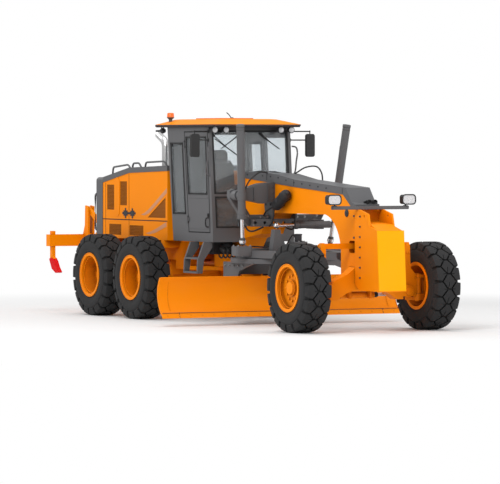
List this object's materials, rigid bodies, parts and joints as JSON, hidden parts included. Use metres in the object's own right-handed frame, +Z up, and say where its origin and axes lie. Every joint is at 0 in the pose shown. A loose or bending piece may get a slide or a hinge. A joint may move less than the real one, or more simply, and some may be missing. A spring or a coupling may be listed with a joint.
{
  "type": "motor grader",
  "caption": "Articulated grader with tandem rear axle, leaning front wheels, cab, curved blade hung on a turning ring under an arched frame, and a rear ripper",
  "frame": {"origin": "on the ground under the middle of the machine's length and width", "axes": "+X forward to the push plate, +Y to the machine's left, +Z up"},
  "size_m": [9.92, 4.27, 3.2811],
  "materials": {
    "body_orange": "semi-gloss orange paint",
    "cast_steel": "cast and machined",
    "frame_grey": "dark grey paint",
    "grille_orange": "orange steel mesh",
    "chrome": "polished",
    "glass": "tinted safety glass",
    "seat_fabric": "woven cover",
    "trim_black": "matt black",
    "lamp_housing": "gloss housing",
    "tyre_black": "moulded rubber",
    "rim_orange": "orange paint"
  },
  "bodies": {
    "rear_frame": {"chassis_rear": "body_orange", "rear_axle": "body_orange", "engine": "cast_steel", "hood": "body_orange", "hood_cover": "frame_grey", "hood_grilles": "grille_orange", "radiator_surround": "frame_grey", "hood_rails": "frame_grey", "exhaust": "chrome"},
    "ripper_lower": {"ripper_lower_link": "body_orange"},
    "ripper_upper": {"ripper_upper_link": "body_orange"},
    "ripper": {"ripper_beam": "body_orange", "ripper_shanks": "cast_steel"},
    "front_frame": {"front_frame": "body_orange", "frame_cover": "frame_grey", "counterweight": "body_orange", "front_axle": "body_orange", "saddle": "frame_grey", "cab_shell": "frame_grey", "cab_roof": "body_orange", "cab_glass": "glass", "seat": "seat_fabric", "console": "trim_black", "mirrors": "trim_black", "head_lamps": "lamp_housing", "steps": "frame_grey", "hydraulic_unit": "trim_black"},
    "lean_bar": {"lean_bar": "body_orange"},
    "tie_rod": {"tie_rod": "chrome"},
    "drawbar_swivel": {"drawbar_swivel": "cast_steel"},
    "drawbar": {"drawbar": "frame_grey"},
    "circle": {"circle": "frame_grey"},
    "blade_carrier": {"blade_carrier": "frame_grey"},
    "moldboard": {"moldboard": "body_orange"},
    "shift_barrel": {"shift_barrel": "frame_grey"},
    "shift_rod": {"shift_rod": "chrome"},
    "wheel_rear_right": {"tyre_rear_right": "tyre_black", "rim_rear_right": "rim_orange"},
    "wheel_rear_left": {"tyre_rear_left": "tyre_black", "rim_rear_left": "rim_orange"},
    "wheel_middle_right": {"tyre_middle_right": "tyre_black", "rim_middle_right": "rim_orange"},
    "wheel_middle_left": {"tyre_middle_left": "tyre_black", "rim_middle_left": "rim_orange"},
    "door_right": {"door_right": "frame_grey", "door_glass_right": "glass"},
    "lean_right": {"lean_bracket_right": "body_orange"},
    "knuckle_right": {"knuckle_right": "body_orange"},
    "wheel_front_right": {"tyre_front_right": "tyre_black", "rim_front_right": "rim_orange"},
    "lift_barrel_right": {"lift_barrel_right": "frame_grey"},
    "lift_rod_right": {"lift_rod_right": "chrome"},
    "door_left": {"door_left": "frame_grey", "door_glass_left": "glass"},
    "lean_left": {"lean_bracket_left": "body_orange"},
    "knuckle_left": {"knuckle_left": "body_orange"},
    "wheel_front_left": {"tyre_front_left": "tyre_black", "rim_front_left": "rim_orange"},
    "lift_barrel_left": {"lift_barrel_left": "frame_grey"},
    "lift_rod_left": {"lift_rod_left": "chrome"}
  },
  "joints": [
    {"name": "articulation", "type": "hinge", "parent": "rear_frame", "child": "front_frame", "pos_m": [-0.64, 0, 1.05], "axis": [0, 0, 1], "range_deg": [-20, 20]},
    {"name": "spin_rear_right", "type": "hinge", "parent": "rear_frame", "child": "wheel_rear_right", "pos_m": [-2.86, -1.126, 0.678], "axis": [0, 1, 0], "continuous": true},
    {"name": "spin_rear_left", "type": "hinge", "parent": "rear_frame", "child": "wheel_rear_left", "pos_m": [-2.86, 1.126, 0.678], "axis": [0, 1, 0], "continuous": true},
    {"name": "spin_middle_right", "type": "hinge", "parent": "rear_frame", "child": "wheel_middle_right", "pos_m": [-1.32, -1.126, 0.678], "axis": [0, 1, 0], "continuous": true},
    {"name": "spin_middle_left", "type": "hinge", "parent": "rear_frame", "child": "wheel_middle_left", "pos_m": [-1.32, 1.126, 0.678], "axis": [0, 1, 0], "continuous": true},
    {"name": "door_right", "type": "hinge", "parent": "front_frame", "child": "door_right", "pos_m": [-0.367, -0.756, 1.43], "axis": [0.1037, 0, -0.9946], "range_deg": [0, 85]},
    {"name": "door_left", "type": "hinge", "parent": "front_frame", "child": "door_left", "pos_m": [-0.367, 0.756, 1.43], "axis": [-0.1037, 0, 0.9946], "range_deg": [0, 85]},
    {"name": "lean_right", "type": "hinge", "parent": "front_frame", "child": "lean_right", "pos_m": [4.07, -0.74, 0.6], "axis": [1, 0, 0], "range_deg": [-18, 18]},
    {"name": "lean_left", "type": "hinge", "parent": "front_frame", "child": "lean_left", "pos_m": [4.07, 0.74, 0.6], "axis": [1, 0, 0], "range_deg": [-18, 18]},
    {"name": "lean_bar", "type": "hinge", "parent": "lean_right", "child": "lean_bar", "pos_m": [4.07, -0.74, 1.3], "axis": [1, 0, 0], "range_deg": [-18, 18]},
    {"name": "steering_right", "type": "hinge", "parent": "lean_right", "child": "knuckle_right", "pos_m": [4.07, -0.95, 0.68], "axis": [0, 0, 1], "range_deg": [-50, 50]},
    {"name": "steering_left", "type": "hinge", "parent": "lean_left", "child": "knuckle_left", "pos_m": [4.07, 0.95, 0.68], "axis": [0, 0, 1], "range_deg": [-50, 50]},
    {"name": "tie_rod", "type": "slide", "parent": "front_frame", "child": "tie_rod", "axis": [0, 1, 0], "range_m": [-0.16, 0.16]},
    {"name": "spin_front_right", "type": "hinge", "parent": "knuckle_right", "child": "wheel_front_right", "pos_m": [4.07, -1.126, 0.678], "axis": [0, 1, 0], "continuous": true},
    {"name": "spin_front_left", "type": "hinge", "parent": "knuckle_left", "child": "wheel_front_left", "pos_m": [4.07, 1.126, 0.678], "axis": [0, 1, 0], "continuous": true},
    {"name": "drawbar_side", "type": "hinge", "parent": "front_frame", "child": "drawbar_swivel", "pos_m": [3.55, 0, 1], "axis": [0, 0, 1], "range_deg": [-8, 8]},
    {"name": "drawbar_lift", "type": "hinge", "parent": "drawbar_swivel", "child": "drawbar", "pos_m": [3.55, 0, 1], "axis": [0, 1, 0], "range_deg": [-3.5, 5.2]},
    {"name": "circle_turn", "type": "hinge", "parent": "drawbar", "child": "circle", "pos_m": [1.375, 0, 1.01], "axis": [0, 0, 1], "range_deg": [-180, 180]},
    {"name": "blade_pitch", "type": "hinge", "parent": "circle", "child": "blade_carrier", "pos_m": [1.15, 0, 0.43], "axis": [0, 1, 0], "range_deg": [-5, 28]},
    {"name": "blade_shift", "type": "slide", "parent": "blade_carrier", "child": "moldboard", "axis": [0, 1, 0], "range_m": [-0.5, 0.5]},
    {"name": "lift_barrel_right", "type": "hinge", "parent": "front_frame", "child": "lift_barrel_right", "pos_m": [1.687, -0.857, 2.05], "axis": [1, 0, 0], "range_deg": [-22, 22]},
    {"name": "lift_rod_right", "type": "slide", "parent": "lift_barrel_right", "child": "lift_rod_right", "axis": [-0.1278, 0.0882, -0.9879], "range_m": [-0.19, 0.13]},
    {"name": "lift_barrel_left", "type": "hinge", "parent": "front_frame", "child": "lift_barrel_left", "pos_m": [1.687, 0.857, 2.05], "axis": [1, 0, 0], "range_deg": [-22, 22]},
    {"name": "lift_rod_left", "type": "slide", "parent": "lift_barrel_left", "child": "lift_rod_left", "axis": [-0.1278, -0.0882, -0.9879], "range_m": [-0.19, 0.13]},
    {"name": "shift_barrel", "type": "hinge", "parent": "front_frame", "child": "shift_barrel", "pos_m": [1.895, 0.5, 1.585], "axis": [1, 0, 0], "range_deg": [-12, 9]},
    {"name": "shift_rod", "type": "slide", "parent": "shift_barrel", "child": "shift_rod", "axis": [-0.0601, -0.9981, -0.012], "range_m": [-0.25, 0.25]},
    {"name": "ripper_lift", "type": "hinge", "parent": "rear_frame", "child": "ripper_lower", "pos_m": [-4.19, 0, 0.95], "axis": [0, 1, 0], "range_deg": [-60, 0]},
    {"name": "ripper_upper", "type": "hinge", "parent": "rear_frame", "child": "ripper_upper", "pos_m": [-4.19, 0, 1.4], "axis": [0, 1, 0], "range_deg": [-60, 0]},
    {"name": "ripper_level", "type": "hinge", "parent": "ripper_lower", "child": "ripper", "pos_m": [-4.75292, 0, 1.275], "axis": [0, 1, 0], "range_deg": [0, 60]}
  ],
  "couplings": [
    {"joint": "lean_left", "follows": "lean_right", "ratio": 1},
    {"joint": "lean_bar", "follows": "lean_right", "ratio": -1},
    {"joint": "steering_left", "follows": "steering_right", "ratio": 1},
    {"joint": "tie_rod", "follows": "steering_right", "m_per_rad": -0.176},
    {"joint": "lift_barrel_right", "follows": "drawbar_side", "ratio": -2.48},
    {"joint": "lift_rod_right", "follows": "drawbar_lift", "m_per_rad": -1.98},
    {"joint": "lift_barrel_left", "follows": "drawbar_side", "ratio": -2.48},
    {"joint": "lift_rod_left", "follows": "drawbar_lift", "m_per_rad": -1.98},
    {"joint": "shift_barrel", "follows": "drawbar_lift", "ratio": -2.05},
    {"joint": "shift_rod", "follows": "drawbar_side", "m_per_rad": 1.7},
    {"joint": "ripper_upper", "follows": "ripper_lift", "ratio": 1},
    {"joint": "ripper_level", "follows": "ripper_lift", "ratio": -1}
  ]
}
